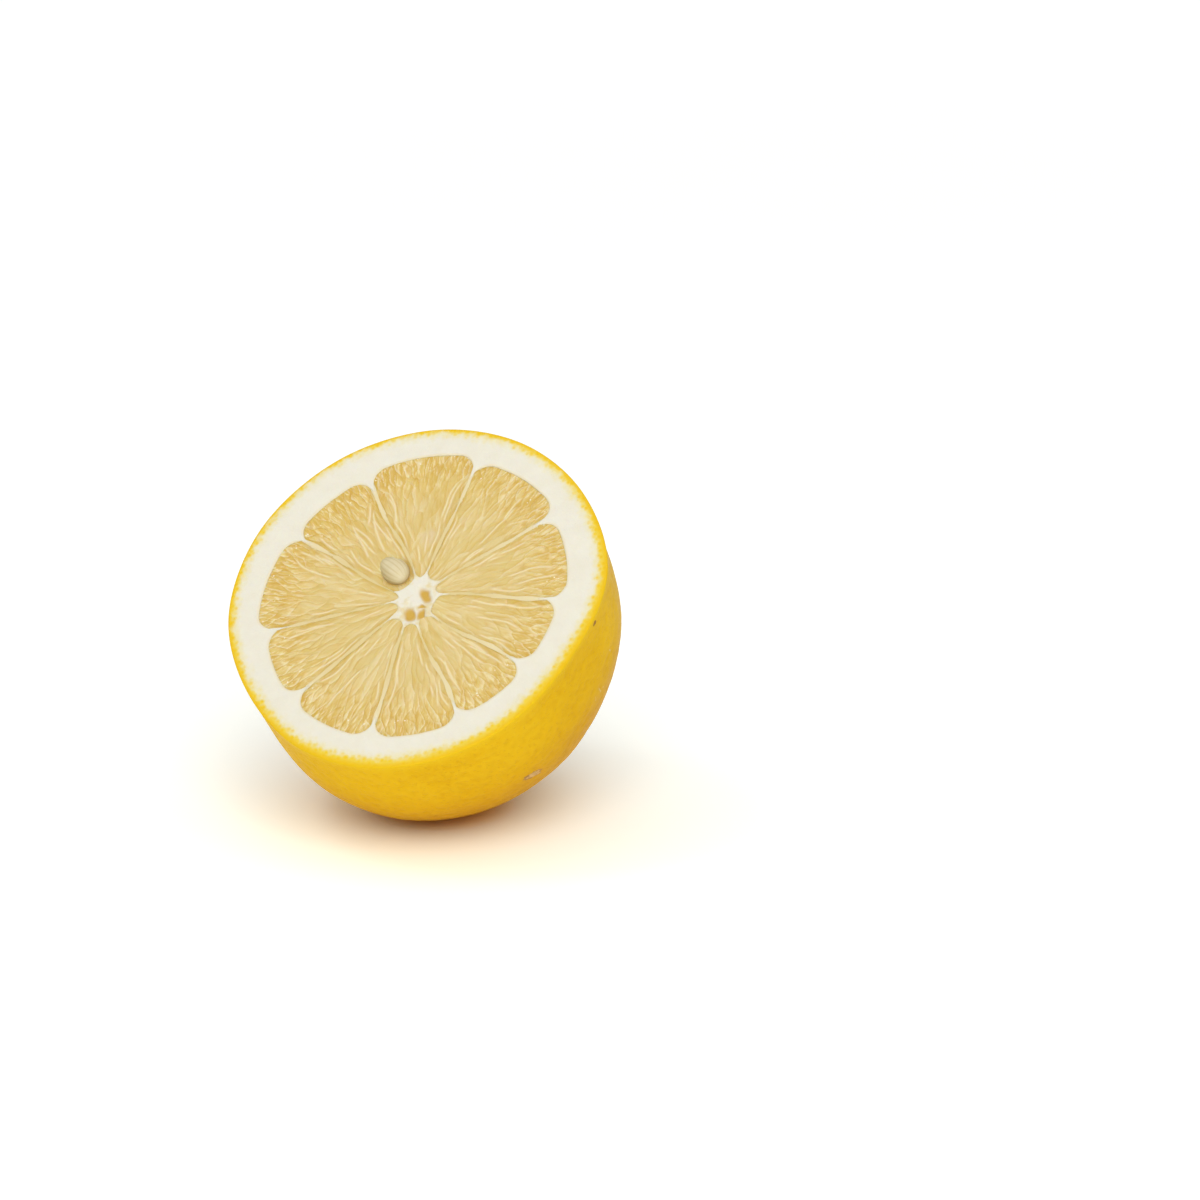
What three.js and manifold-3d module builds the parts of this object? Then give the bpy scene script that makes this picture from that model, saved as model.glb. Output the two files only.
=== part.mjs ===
// Half a lemon, cut across its middle and lying on its skin, with the cut face tilted up and towards -Y.
// Millimetres, +Z up. The origin is the middle of the small flat spot that the half rests on.
//
// The half is first made in a frame of its own, which the last group tilts and lifts into place:
// the cut face lies at z = 0 and looks along +z, and the fruit runs down from it to its tip.
import * as THREE from "three";
import { mergeVertices } from "three/addons/utils/BufferGeometryUtils.js";
import Module from "manifold-3d";

// Outside shape
const RADIUS = 31; // nominal radius at the cut
const OUTLINE = [31.7, 30.8, 30.6, 30.8, 31.2, 31.5, 31.2, 30.3, 30.9, 31.3, 31.2, 30.6]; // every 30 degrees
const OUTLINE_START = 15; // degrees from +x to the first of them
const PROFILE = [
  // [depth below the cut, radius], from the cut to the tip of the nipple at the blossom end
  [0, 31], [5, 30.7], [10.5, 30.4], [16, 29.6], [21.5, 27.8], [27, 25], [31.5, 21.8],
  [35.5, 18.3], [38.8, 14.4], [41.2, 10.3], [42.8, 7.6], [44.4, 6.1], [46, 4.9], [47.1, 2.9], [47.4, 0],
];
const ROUND_DEPTH = 34; // by this depth the fruit is as round as a turned thing
const BEND = [-1.2, -1.5]; // how far its middle drifts sideways on the way down
const BEND_DEPTH = 45; // where the drift ends
const NIPPLE_SHIFT = [0.9, 2.8]; // how far the nipple leans back the other way
const NIPPLE_SPAN = [37, 46];
const SWELL = 0.18; // height of the broad, shallow swellings of the skin
const SWELL_WAVES = [
  // [swellings round the fruit, share of the height, start in radians, turn in radians from cut to tip]
  [3, 1, 0.6, 0],
  [2, 0.7, -1.1, 3],
];

// Cut face, as seen from outside, with angles anticlockwise from +x about the core's middle
const CORE = [0.9, -0.9];
const CORE_RADIUS = 3.4;
const SEGMENTS = [
  // [angle of the membrane where the segment starts, reach of its pulp from the core's middle]
  [8, 24.6], [46, 25.7], [87, 26.7], [128.5, 26.1], [162, 26.5],
  [202.5, 24.9], [235.5, 25], [272.5, 24.8], [306.5, 24], [337.5, 23.6],
];
const LOBE_CORNER = 3.4; // radius of each segment's outer corners
const MEMBRANE = 0.6; // thickness of the walls between segments
const STEP = 0.45; // width of the slope from a wall's top down to the pulp
const WALL_SHARE = 0.12; // most of a segment's width that half a wall takes, where the segments narrow
const FOOT_SHARE = 0.26; // and most that half a wall and its slope take
const RECESS = 0.75; // how far the pulp lies below the walls and the pith
const VESICLE_HEIGHT = 0.55; // of the juice sacs' ridges, above the pulp's lowest level
const VESICLE_DIP = 0.7; // share of that height lost where one juice sac ends and the next begins
const VESICLE_STAGGER = [0.37, 0.61]; // sac lengths that each column, and each segment, is shifted by
const RIDGE_SPACING = [0.35, 0.9]; // distances between columns where ridges begin and have their full height
const RIM_DROP = 0.25; // how far the outermost edge of the skin falls away from the cut

// Seed, in an open pocket beside the core
const SEED_LENGTH = 7.6;
const SEED_WIDTH = 4.1;
const SEED_THICKNESS = 3;
const SEED_TAPER = [0.3, 0.12]; // shares of its width lost towards its point, and towards both ends
const SEED_PLACE = [-5.6, 4.1, -1];
const SEED_TURN = 149; // degrees, the way its pointed end looks
const SEED_DIP = 8; // degrees that the pointed end goes down by
const SEED_CLEARANCE = 0.35;

// Hollows in the core: [x, y, half length, half width, turn in degrees]
const HOLLOWS = [[2, -0.1, 1.6, 0.9, -42], [0.5, -3.8, 1.4, 0.8, -58], [2.6, -3.7, 1.1, 0.6, -60]];
const HOLLOW_DEPTH = 3.2;

// Pose
const TILT = 43; // degrees between the cut face and the level
const FACE_MIDDLE = [1.3, -10.4, 39.05]; // of the cut face, above the resting surface

// Fineness of the faceted surface
const COLUMNS = 14; // per segment
const PULP_ROWS = 12;
const SKIN_ROWS = 17;
const TIP_CROWDING = 1.4; // more than 1 draws the skin's rows together towards the tip
const VESICLE_ROWS = 4; // rows in one juice sac's length
const SEED_SIDES = 24;
const SEED_STEPS = 14;
const HOLLOW_SIDES = 12;
const MERGE_DISTANCE = 1e-4;

const wasm = await Module();
wasm.setup();

const turn = THREE.MathUtils.degToRad;
const mix = THREE.MathUtils.lerp;

const outline = new THREE.CatmullRomCurve3(
  OUTLINE.map((radius, i) => {
    const angle = (2 * Math.PI * i) / OUTLINE.length;
    return new THREE.Vector3(radius * Math.cos(angle), radius * Math.sin(angle), 0);
  }),
  true,
);
const profile = new THREE.SplineCurve(PROFILE.map(([depth, radius]) => new THREE.Vector2(depth, radius)));

// Broad swellings, so that no two sides of the skin curve alike. They die away at the cut and the tip.
function swell(angle, along) {
  const waves = SWELL_WAVES.map(
    ([count, share, start, twist]) => share * Math.sin(count * angle + start + twist * along),
  );
  return SWELL * (waves[0] + waves[1]) * Math.sin(Math.PI * along);
}

// Where the middle of the fruit lies at a depth, in x and y.
function middle(depth) {
  const bend = Math.sin((Math.PI / 2) * Math.min(1, depth / BEND_DEPTH));
  const shift = THREE.MathUtils.smoothstep(depth, ...NIPPLE_SPAN);
  return [0, 1].map((i) => BEND[i] * bend + NIPPLE_SHIFT[i] * shift);
}

// A point of the skin at an angle in radians, and at a share of the profile's length from cut to tip.
function skinPoint(angle, along) {
  const { x: depth, y: radius } = profile.getPointAt(along);
  const roundness = THREE.MathUtils.smoothstep(depth, 0, ROUND_DEPTH);
  const edge = outline.getPoint((angle - turn(OUTLINE_START)) / (2 * Math.PI));
  const reach = (mix(edge.length() / RADIUS, 1, roundness) + swell(angle, along) / RADIUS) * radius;
  const [x, y] = middle(depth);
  return new THREE.Vector3(x + reach * Math.cos(angle), y + reach * Math.sin(angle), -depth);
}

// How far from the core's middle the pulp reaches, at a distance across the segment from its nearer wall.
function pulpReach(reach, fromWall) {
  const corner = Math.min(fromWall, LOBE_CORNER);
  return reach - LOBE_CORNER + Math.sqrt(LOBE_CORNER ** 2 - (LOBE_CORNER - corner) ** 2);
}

// Where a column of points crosses the segment's width: on a wall's middle or edge, at its foot, or evenly
// between.
function acrossSegment(column, width) {
  const wall = Math.min(MEMBRANE / 2, WALL_SHARE * width);
  const foot = Math.min(MEMBRANE / 2 + STEP, FOOT_SHARE * width);
  const last = COLUMNS - 2;
  if (column === 0) return 0;
  if (column === 1) return wall;
  if (column > last) return width - wall;
  return mix(foot, width - foot, (column - 2) / (last - 2));
}

// Height of the pulp. Ridges stand on every other column, dip where one juice sac ends and the next begins,
// and die away towards the core, where the columns draw together.
function pulpHeight(segment, column, row, spacing) {
  if (column < 2 || column > COLUMNS - 2) return 0;
  if (column % 2 === 0) return -RECESS;
  const sacs = row / VESICLE_ROWS + column * VESICLE_STAGGER[0] + segment * VESICLE_STAGGER[1];
  const bulge = Math.abs(Math.sin(Math.PI * sacs));
  const room = THREE.MathUtils.smoothstep(spacing, ...RIDGE_SPACING);
  return -RECESS + VESICLE_HEIGHT * room * mix(1 - VESICLE_DIP, 1, bulge);
}

// The points of one column on the cut face, from beside the core's middle out to the rim.
function facePoints(segment, column) {
  const [start, reach] = SEGMENTS[segment];
  const [end] = SEGMENTS[(segment + 1) % SEGMENTS.length];
  const previousReach = SEGMENTS.at(segment - 1)[1];
  const span = turn((end - start + 360) % 360);
  const onWall = column === 0;
  const angleAt = (radius) => turn(start) + acrossSegment(column, span * radius) / radius;
  const at = (radius, height) => {
    const angle = angleAt(radius);
    return new THREE.Vector3(CORE[0] + radius * Math.cos(angle), CORE[1] + radius * Math.sin(angle), height);
  };
  const across = acrossSegment(column, span * reach);
  const fromWall = Math.min(across, span * reach - across);
  const edge = pulpReach(onWall ? Math.min(reach, previousReach) : reach, fromWall);
  const points = [at(CORE_RADIUS / 2, 0), at(CORE_RADIUS, 0)];
  for (let row = 0; row <= PULP_ROWS; row++) {
    const isEnd = row === 0 || row === PULP_ROWS;
    const radius = mix(CORE_RADIUS + STEP, edge - STEP, row / PULP_ROWS);
    const height = pulpHeight(segment, column, row, (span * radius) / COLUMNS);
    points.push(at(radius, isEnd && height < 0 ? -RECESS : height));
  }
  points.push(at(edge, 0));
  const outside = at(RADIUS, 0);
  const rimAngle = Math.atan2(outside.y, outside.x);
  const rim = skinPoint(rimAngle, 0);
  const inRim = rim.clone().setLength(rim.length() - STEP);
  points.push(points.at(-1).clone().lerp(inRim, 0.5), inRim, rim.setZ(-RIM_DROP));
  for (let row = 1; row < SKIN_ROWS; row++) {
    points.push(skinPoint(rimAngle, 1 - (1 - row / SKIN_ROWS) ** TIP_CROWDING));
  }
  return points;
}

// Joins equal columns of points into a closed surface between two poles. Faces look out where columns go
// anticlockwise about the first pole.
function closedSurface(columns, firstPole, lastPole) {
  const rows = columns[0].length;
  const points = [firstPole, ...columns.flat(), lastPole];
  const at = (column, row) => 1 + (column % columns.length) * rows + row;
  const index = [];
  columns.forEach((_, c) => {
    index.push(0, at(c, 0), at(c + 1, 0));
    for (let row = 0; row < rows - 1; row++) {
      index.push(at(c, row), at(c, row + 1), at(c + 1, row + 1));
      index.push(at(c, row), at(c + 1, row + 1), at(c + 1, row));
    }
    index.push(at(c, rows - 1), points.length - 1, at(c + 1, rows - 1));
  });
  return new THREE.BufferGeometry().setFromPoints(points).setIndex(index);
}

function fruitGeometry() {
  const columns = SEGMENTS.flatMap((_, segment) =>
    Array.from({ length: COLUMNS }, (_unused, column) => facePoints(segment, column)),
  );
  return closedSurface(columns, new THREE.Vector3(...CORE, 0), skinPoint(0, 1));
}

// A plump seed, blunt at one end and drawn out to a point at the other, grown all round by a clearance.
function seedGeometry(clearance) {
  const half = SEED_LENGTH / 2 + clearance;
  const wide = SEED_WIDTH / 2 + clearance;
  const side = Array.from({ length: SEED_STEPS + 1 }, (_, i) => {
    const angle = (Math.PI * i) / SEED_STEPS;
    const along = Math.cos(angle);
    const taper = 1 + SEED_TAPER[0] * along - SEED_TAPER[1] * along ** 2;
    return new THREE.Vector2(wide * Math.sin(angle) * taper, -half * along);
  });
  const flatness = (SEED_THICKNESS / 2 + clearance) / wide;
  return new THREE.LatheGeometry(side, SEED_SIDES)
    .scale(1, 1, flatness)
    .rotateZ(-Math.PI / 2)
    .rotateY(turn(SEED_DIP))
    .rotateZ(turn(SEED_TURN))
    .translate(...SEED_PLACE);
}

function hollowGeometry([x, y, halfLength, halfWidth, angle]) {
  return new THREE.SphereGeometry(1, HOLLOW_SIDES, HOLLOW_SIDES / 2)
    .scale(halfLength, halfWidth, HOLLOW_DEPTH)
    .rotateZ(turn(angle))
    .translate(x, y, 0);
}

function solidOf(geometry) {
  const bare = geometry.clone().deleteAttribute("normal").deleteAttribute("uv");
  const merged = mergeVertices(bare, MERGE_DISTANCE);
  return new wasm.Manifold(
    new wasm.Mesh({
      numProp: 3,
      vertProperties: new Float32Array(merged.attributes.position.array),
      triVerts: new Uint32Array(merged.index.array),
    }),
  );
}

function geometryOf(solid) {
  const { vertProperties, triVerts } = solid.getMesh();
  const geometry = new THREE.BufferGeometry()
    .setAttribute("position", new THREE.BufferAttribute(vertProperties, 3))
    .setIndex(new THREE.BufferAttribute(triVerts, 1));
  geometry.computeVertexNormals();
  return geometry;
}

// Everything below the resting surface, in the fruit's own frame.
function groundGeometry(pose) {
  const size = 4 * RADIUS;
  const block = new THREE.BoxGeometry(size, size, size).translate(0, 0, -size / 2);
  return block.applyMatrix4(pose.clone().invert());
}

function named(name, geometry, color, roughness) {
  const mesh = new THREE.Mesh(geometry, new THREE.MeshStandardMaterial({ color, roughness, metalness: 0 }));
  mesh.name = name;
  return mesh;
}

const lemon = new THREE.Group();
lemon.rotation.x = turn(TILT);
lemon.position.set(...FACE_MIDDLE);
lemon.updateMatrix();

const cuts = [seedGeometry(SEED_CLEARANCE), ...HOLLOWS.map(hollowGeometry), groundGeometry(lemon.matrix)];
const fruit = cuts.reduce((solid, cut) => solid.subtract(solidOf(cut)), solidOf(fruitGeometry()));

lemon.add(named("lemon_half", geometryOf(fruit), 0xf2c230, 0.45));
lemon.add(named("seed", seedGeometry(0), 0xd8cfa0, 0.5));

const part = new THREE.Group();
part.add(lemon);

export default part;
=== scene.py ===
# Half a lemon lying on its skin, with fine peel, pith, membranes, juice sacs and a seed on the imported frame.
#
# Shapes are made in millimetres in the fruit's own frame, as in the part's source: the cut face lies at z = 0
# and looks along +z, and the fruit runs down from it to its tip. place() tilts and lifts them into the CAD's
# frame, in metres.
import math

import bpy
import numpy as np
from mathutils import Matrix, Vector, kdtree


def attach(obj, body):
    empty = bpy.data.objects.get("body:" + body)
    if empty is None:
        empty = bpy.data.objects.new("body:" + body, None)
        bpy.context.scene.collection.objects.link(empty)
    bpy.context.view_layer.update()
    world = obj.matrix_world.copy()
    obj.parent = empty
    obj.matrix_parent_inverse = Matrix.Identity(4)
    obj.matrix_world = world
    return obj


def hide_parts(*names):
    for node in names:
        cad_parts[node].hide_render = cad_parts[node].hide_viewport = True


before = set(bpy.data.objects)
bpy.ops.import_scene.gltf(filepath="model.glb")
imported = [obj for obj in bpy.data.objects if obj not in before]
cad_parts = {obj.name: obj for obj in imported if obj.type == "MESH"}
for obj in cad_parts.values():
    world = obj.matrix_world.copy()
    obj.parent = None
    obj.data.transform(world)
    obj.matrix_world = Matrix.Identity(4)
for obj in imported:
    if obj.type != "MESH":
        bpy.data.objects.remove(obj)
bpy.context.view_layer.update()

MM = 0.001

# --- Outside shape, as in the CAD ---------------------------------------------
RADIUS = 31.0
OUTLINE = [31.7, 30.8, 30.6, 30.8, 31.2, 31.5, 31.2, 30.3, 30.9, 31.3, 31.2, 30.6]  # radius every 30 degrees
OUTLINE_START = 15  # degrees from +x to the first of them
PROFILE = [
    # (depth below the cut, radius), from the cut to the tip of the nipple
    (0, 31), (5, 30.7), (10.5, 30.4), (16, 29.6), (21.5, 27.8), (27, 25), (31.5, 21.8),
    (35.5, 18.3), (38.8, 14.4), (41.2, 10.3), (42.8, 7.6), (44.4, 6.1), (46, 4.9), (47.1, 2.9), (47.4, 0),
]
ROUND_DEPTH = 34  # where the uneven outline has faded into a round one
BEND = (-1.2, -1.5)  # how far the middle line has strayed at BEND_DEPTH
BEND_DEPTH = 45
NIPPLE_SHIFT = (0.9, 2.8)  # how far the nipple stands off that line
NIPPLE_SPAN = (37, 46)  # depths between which it gets there
SWELL = 0.18  # height of the skin's broad swellings
SWELL_WAVES = [(3, 1, 0.6, 0), (2, 0.7, -1.1, 3)]  # swellings, share, start, turn from cut to tip
TILT = 43  # degrees from the level
FACE_MIDDLE = (1.3, -10.4, 39.05)  # of the cut face, in the CAD's frame

# --- Cut face, with angles anticlockwise from +x about the core's middle ------
CORE = (0.9, -0.9)
SEGMENTS = [
    # angle of the membrane where it starts, reach of its pulp, turn of that membrane at its inner end, and
    # radius where the pulp begins
    (8, 24.6, 8, 3.3), (46, 25.7, 4, 3.9), (87, 26.7, 2, 3.9), (128.5, 26.1, -11.5, 3.1), (162, 26.5, 8, 3.2),
    (202.5, 24.9, -3, 3.3), (235.5, 25, -2, 4.5), (272.5, 24.8, -5, 4.7), (306.5, 24, -12, 4.1),
    (337.5, 23.6, -10, 3.2),
]
TURN_SPAN = (18, 6)  # radii where a membrane's turn begins and where it is as stated
LOBE_CORNER = 3.4  # radius of each segment's outer corners
TIP_ROUND = 1.1  # how far a segment's inner tip is rounded
MEMBRANE = 0.68
MEMBRANE_SHARE = 0.06  # most of a segment's width that half a membrane takes
MEMBRANE_DROP = 0.08  # how far its top lies below the pith
FADED_WAY = 220  # degrees, the way where the membranes fade into the pulp soonest
POCKET_DEPTH = 4.6  # of the hollow in the rind that holds a segment's pulp
LIP = [(-0.16, 0), (-0.05, -0.04), (0, -0.15), (0.03, -POCKET_DEPTH)]  # the pocket's edge: (inwards, height)
RIM = [(0.5, 0), (0.22, -0.02), (0.08, -0.08), (0, -0.25)]  # the skin's edge: (inwards, height)
PITH_WAVES = [(1.6, 0.05), (0.6, 0.03), (5, 0.08)]  # (size, height) of the pith's unevenness
ZEST_TURN = 0.7  # radians; the zest is thinnest a quarter turn on from this way
HOLLOW_RAGGED = (0.9, 0.3)  # (size, reach) of how the hollows' edges waver
HOLLOWS = [
    # x, y, half length, half width, turn in degrees, depth
    (2.0, -0.1, 2.2, 1.3, -42, 0.5), (0.6, -3.8, 2.1, 1.5, -58, 0.55), (2.5, -3.7, 1.6, 1.1, -60, 0.5),
    (2.3, -2.1, 1.0, 0.8, 0, 0.3),
]

# --- Seed, as in the CAD ------------------------------------------------------
SEED_LENGTH = 7.6
SEED_WIDTH = 4.1
SEED_THICKNESS = 3.0
SEED_TAPER = (0.3, 0.12)  # how it narrows along its length: evenly, and towards both ends
SEED_PLACE = (-5.6, 4.1, -1.0)
SEED_TURN = 149  # degrees about the upright
SEED_DIP = 8  # degrees that its narrow end points down
SEED_RIDGES = 17
SEED_RIDGE_HEIGHT = 0.05
NEST_DEPTH = (0.1, 0.55)  # of the dip in the pulp round it, on its outer side and on the side of the core
NEST_WIDTH = 0.42
NEST_SIDE = -40  # degrees, the way that the deeper side looks

# --- Pulp ---------------------------------------------------------------------
PULP_LEVEL = -0.19  # mean height of the pulp
PULP_SINK = 0.1  # how far it runs into the membranes and pith
PULP_BOTTOM = -4.4
SAC_WIDTH = (0.95, 1.2)  # of a juice sac, near the core and at the outer end
SAC_LENGTH = (7.0, 4.2)
SAC_SPREAD = 10  # degrees that a sac's direction strays by
SAC_TRIES = 3500  # random places tried in each segment
SAC_GAP = 0.82  # least distance between two sacs, as a share of their size
SAC_RELIEF = 0.085  # height of a sac's rounded top
SAC_LEVEL = 0.75  # share of that height which lies at PULP_LEVEL
SAC_STEP = 0.045  # how much one sac stands above or below another
SAC_EDGE = 0.12  # mm over which a sac's top rounds off
CORE_RELIEF = 0.25  # share of that relief left beside the core
SAC_WARP = [(2.2, 0.4), (0.8, 0.05)]  # (size, reach) of how the sacs' edges waver
FIBRES = [
    # the plainest of the long pale fibres, from (x, y) to (x, y), and how far each bows to its left
    (-14.4, 9.6, -9.7, 4.8, 0.2), (-11.9, 12.4, -7.4, 6.4, -0.25), (-13.5, 15, -12.2, 10.7, 0.2),
    (-22.2, 6.3, -10.9, 1.4, 0.2),
]
GOLDEN_WAY = 150  # degrees, the way where the pulp is the deepest gold
BURIED = (-0.8, 10.1, 2.3)  # x, y and radius of the pale patch over a seed inside the pulp
BURIED_RISE = 0.06
BURIED_CALM = 0.8  # share of the sacs' relief that it smooths away
PULP_WAVES = [(3.5, 0.08), (0.5, 0.02)]  # (size, height) of the pulp's unevenness
PULP_TOP = -0.1  # as high as the pulp may reach
WALL_CLIMB = (0.14, 0.5)  # how high the pulp climbs at a membrane, and over what width
STREAKS = 8  # other long fibres in each segment, some of them along its membranes
STREAK_LENGTH = (2.5, 9)
STREAK_WIDTH = 0.2
STREAK_HEIGHT = 0.05
STREAK_GROOVE = 0.6  # depth of the groove beside a long fibre, as a share of its height

# --- Fineness -----------------------------------------------------------------
COLUMNS = 50  # of the rind, per segment
CORE_ROWS = 24
CORE_CROWDING = 0.85  # a power: below 1, the rows lie closer at the edge of the core
FLOOR_ROWS = 15
PITH_ROWS = 14
SKIN_ROWS = 134
TIP_CROWDING = 1.15  # a power: above 1, the rows lie closer at the tip
PULP_COLUMNS = 144
PULP_ROWS = 188
SEED_SIDES = 136
SEED_STEPS = 72
SHARP_FROM = 60  # degrees between faces, from which their edge isn't shaded smooth

# --- Skin ---------------------------------------------------------------------
PIT_COUNT = 5200
PIT_RADIUS = (0.55, 0.95)
PIT_DEPTH = (0.04, 0.11)
SKIN_WAVES = [(14, 0.16), (5.5, 0.07), (2.4, 0.03)]  # (size, height) of its broad unevenness
SCARS = [
    # angle and depth on the skin, half length, half width, turn in degrees, darkness
    (-39.6, 18.6, 2.1, 1.3, 30, 0.5), (-41.6, 17.7, 0.8, 0.7, 0, 0.9), (-37.6, 19.8, 0.8, 0.5, 60, 0.6),
    (-0.2, 1.5, 0.6, 0.5, 0, 3),
]
SCRATCHES = [
    # the same for thin pale scratches
    (-6.6, 15.9, 1.6, 0.22, 80, 0), (-4.2, 17, 1.1, 0.2, 70, 0), (-9.5, 16.4, 1.3, 0.2, 95, 0),
    (2.8, 11.7, 0.9, 0.2, 75, 0), (-113, 7.9, 1.2, 0.22, 40, 0), (-109, 8.8, 0.8, 0.2, 50, 0),
]

# --- Camera and light ---------------------------------------------------------
CAMERA_TURN = 25  # degrees round from looking along +y
CAMERA_RISE = 17
CAMERA_FROM_FACE = (267.576, -504.693, 173.148)
LENS = 114.3
SENSOR = 36.0
FLOOR_SIZE = 6.0  # metres
WORLD_FRONT = (0.1, -0.35, 0.93)  # the way to the brightest part of the white surroundings
WORLD_STRENGTH = (0.3, 0.86)  # of the surroundings, behind and in front
WORLD_SPAN = (-0.2, 1)  # cosines of the angle from WORLD_FRONT where it is as stated
FLOOR_WHITE = (1.19, 1.38)  # of the floor, near and far, so that it is plain white away from the fruit
FLOOR_FADE = (200, 1100)  # mm from the middle
FLOOR_TINT = (0.97, 1.0, 0.96)  # so that it shows as a plain white
GLOW_TINT = (1.0, 0.68, 0.3)  # the same close under the fruit, warmed as if by light off its skin
GLOW_SPAN = (7, 14)  # mm from the middle where that warmth begins to fade, and is gone
LIGHTS = [
    # name, place in metres, width in metres, power in watts
    ("key", (0.4, -0.72, 0.78), 0.8, 5.4), ("glint", (-0.45, -0.3, 0.95), 0.25, 0.6),
]
LIGHT_TARGET = (0, 0, 0.03)
STUDIO_GAIN = 1.2  # how much brighter than its own colour a surface shows in this light


def mix(a, b, share):
    return a + (b - a) * share


def smoothstep(x, low, high):
    share = np.clip((np.asarray(x, float) - low) / (high - low), 0, 1)
    return share * share * (3 - 2 * share)


def hashed(cell, seed):
    """A random value from -1 to 1 for each whole-numbered cell."""
    mask = 0xFFFFFFFF
    value = (cell @ np.array([73856093, 19349663, 83492791]) + seed * 2654435761) & mask
    value = ((value ^ (value >> 15)) * 0x2C1B3C6D) & mask
    value = ((value ^ (value >> 12)) * 0x297A2D39) & mask
    return (value ^ (value >> 15)) / mask * 2 - 1


def noise(points, size, seed):
    """Smooth noise from -1 to 1 that changes over about `size` mm."""
    scaled = np.asarray(points, float) / size
    cell = np.floor(scaled).astype(np.int64)
    part = smoothstep(scaled - cell, 0, 1)
    total = np.zeros(scaled.shape[:-1])
    for corner in np.ndindex(2, 2, 2):
        weight = np.prod(np.where(corner, part, 1 - part), axis=-1)
        total += weight * hashed(cell + np.array(corner), seed)
    return total


def waves(points, layers, seed, seed_step=1):
    """Unevenness made of layers of noise, each a (size, height)."""
    return sum(height * noise(points, size, seed + seed_step * i) for i, (size, height) in enumerate(layers))


def catmull_rom(before, start, end, after, t):
    """A point between start and end, at t from 0 to 1."""
    leave, arrive = (end - before) / 2, (after - start) / 2
    return (
        (2 * start - 2 * end + leave + arrive) * t**3
        + (-3 * start + 3 * end - 2 * leave - arrive) * t**2
        + leave * t
        + start
    )


# --- The skin's form ----------------------------------------------------------


def sampled_profile(count=4000):
    """Depths and radii along the profile, with the share of its length at each."""
    points = np.array(PROFILE, float)
    places = np.linspace(0, len(points) - 1, count)
    index = np.minimum(places.astype(int), len(points) - 2)
    around = [points[np.clip(index + offset, 0, len(points) - 1)] for offset in (-1, 0, 1, 2)]
    curve = catmull_rom(*around, (places - index)[:, None])
    steps = np.hypot(*np.diff(curve, axis=0).T)
    length = np.concatenate([[0], np.cumsum(steps)])
    return curve[:, 0], np.maximum(curve[:, 1], 0), length / length[-1], length[-1]


PROFILE_DEPTH, PROFILE_RADIUS, PROFILE_SHARE, PROFILE_LENGTH = sampled_profile()


def outline_reach(angle):
    """Radius of the cut's outline at angles in radians."""
    turns = (np.asarray(angle) - math.radians(OUTLINE_START)) / (2 * math.pi) * len(OUTLINE)
    index = np.floor(turns).astype(int)
    angles = 2 * math.pi * np.arange(len(OUTLINE)) / len(OUTLINE)
    corners = np.array(OUTLINE)[:, None] * np.stack([np.cos(angles), np.sin(angles)], -1)
    around = [corners[(index + offset) % len(OUTLINE)] for offset in (-1, 0, 1, 2)]
    point = catmull_rom(*around, (turns - index)[..., None])
    return np.hypot(point[..., 0], point[..., 1])


def swell(angle, along):
    """How far the skin stands out in its broad swellings, at angles and shares of the way to the tip."""
    total = sum(
        share * np.sin(count * angle + start + twist * along) for count, share, start, twist in SWELL_WAVES
    )
    return SWELL * total * np.sin(math.pi * along)


def skin_points(angle, along):
    """Points of the smooth skin at angles in radians and shares of the profile's length from cut to tip."""
    angle, along = np.broadcast_arrays(angle, along)
    depth = np.interp(along, PROFILE_SHARE, PROFILE_DEPTH)
    radius = np.interp(along, PROFILE_SHARE, PROFILE_RADIUS)
    round_share = smoothstep(depth, 0, ROUND_DEPTH)
    reach = (mix(outline_reach(angle) / RADIUS, 1, round_share) + swell(angle, along) / RADIUS) * radius
    bend = np.sin(math.pi / 2 * np.minimum(1, depth / BEND_DEPTH))
    shift = smoothstep(depth, *NIPPLE_SPAN)
    x = BEND[0] * bend + NIPPLE_SHIFT[0] * shift + reach * np.cos(angle)
    y = BEND[1] * bend + NIPPLE_SHIFT[1] * shift + reach * np.sin(angle)
    return np.stack([x, y, -depth], -1)


def place(points):
    """From the fruit's own frame, in mm, to the CAD's, in metres. Nothing goes below the resting surface."""
    sine, cosine = math.sin(math.radians(TILT)), math.cos(math.radians(TILT))
    x, y, z = np.moveaxis(np.asarray(points, float), -1, 0)
    placed = np.stack([x, y * cosine - z * sine, y * sine + z * cosine], -1) + np.array(FACE_MIDDLE)
    placed[..., 2] = np.maximum(placed[..., 2], 0)
    return placed * MM


# --- Layout of the cut face ---------------------------------------------------


def wall_angle(segment, radius):
    """Angle of the membrane where a segment starts, in radians. Near the core it turns aside."""
    start, _, turn, _ = SEGMENTS[segment % len(SEGMENTS)]
    outer, inner = TURN_SPAN
    inwards = np.maximum(0, (outer - radius) / (outer - inner))
    return np.radians(start + 360 * (segment // len(SEGMENTS)) + turn * inwards**1.5)


def segment_width(segment, radius):
    return (wall_angle(segment + 1, radius) - wall_angle(segment, radius)) * radius


def half_membrane(segment, radius):
    """Half the thickness of a membrane, which thins where the segments narrow and wavers a little."""
    waver = 1 + 0.25 * np.sin(1.1 * radius + 2.3 * (segment % len(SEGMENTS)))
    width = np.minimum(segment_width(segment, radius), segment_width(segment - 1, radius))
    return np.minimum(MEMBRANE / 2 * waver, MEMBRANE_SHARE * width)


def pulp_reach(reach, from_wall):
    """How far out the pulp goes, at a distance across the segment from its nearer membrane."""
    corner = np.minimum(from_wall, LOBE_CORNER)
    return reach - LOBE_CORNER + np.sqrt(np.maximum(0, LOBE_CORNER**2 - (LOBE_CORNER - corner) ** 2))


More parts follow.
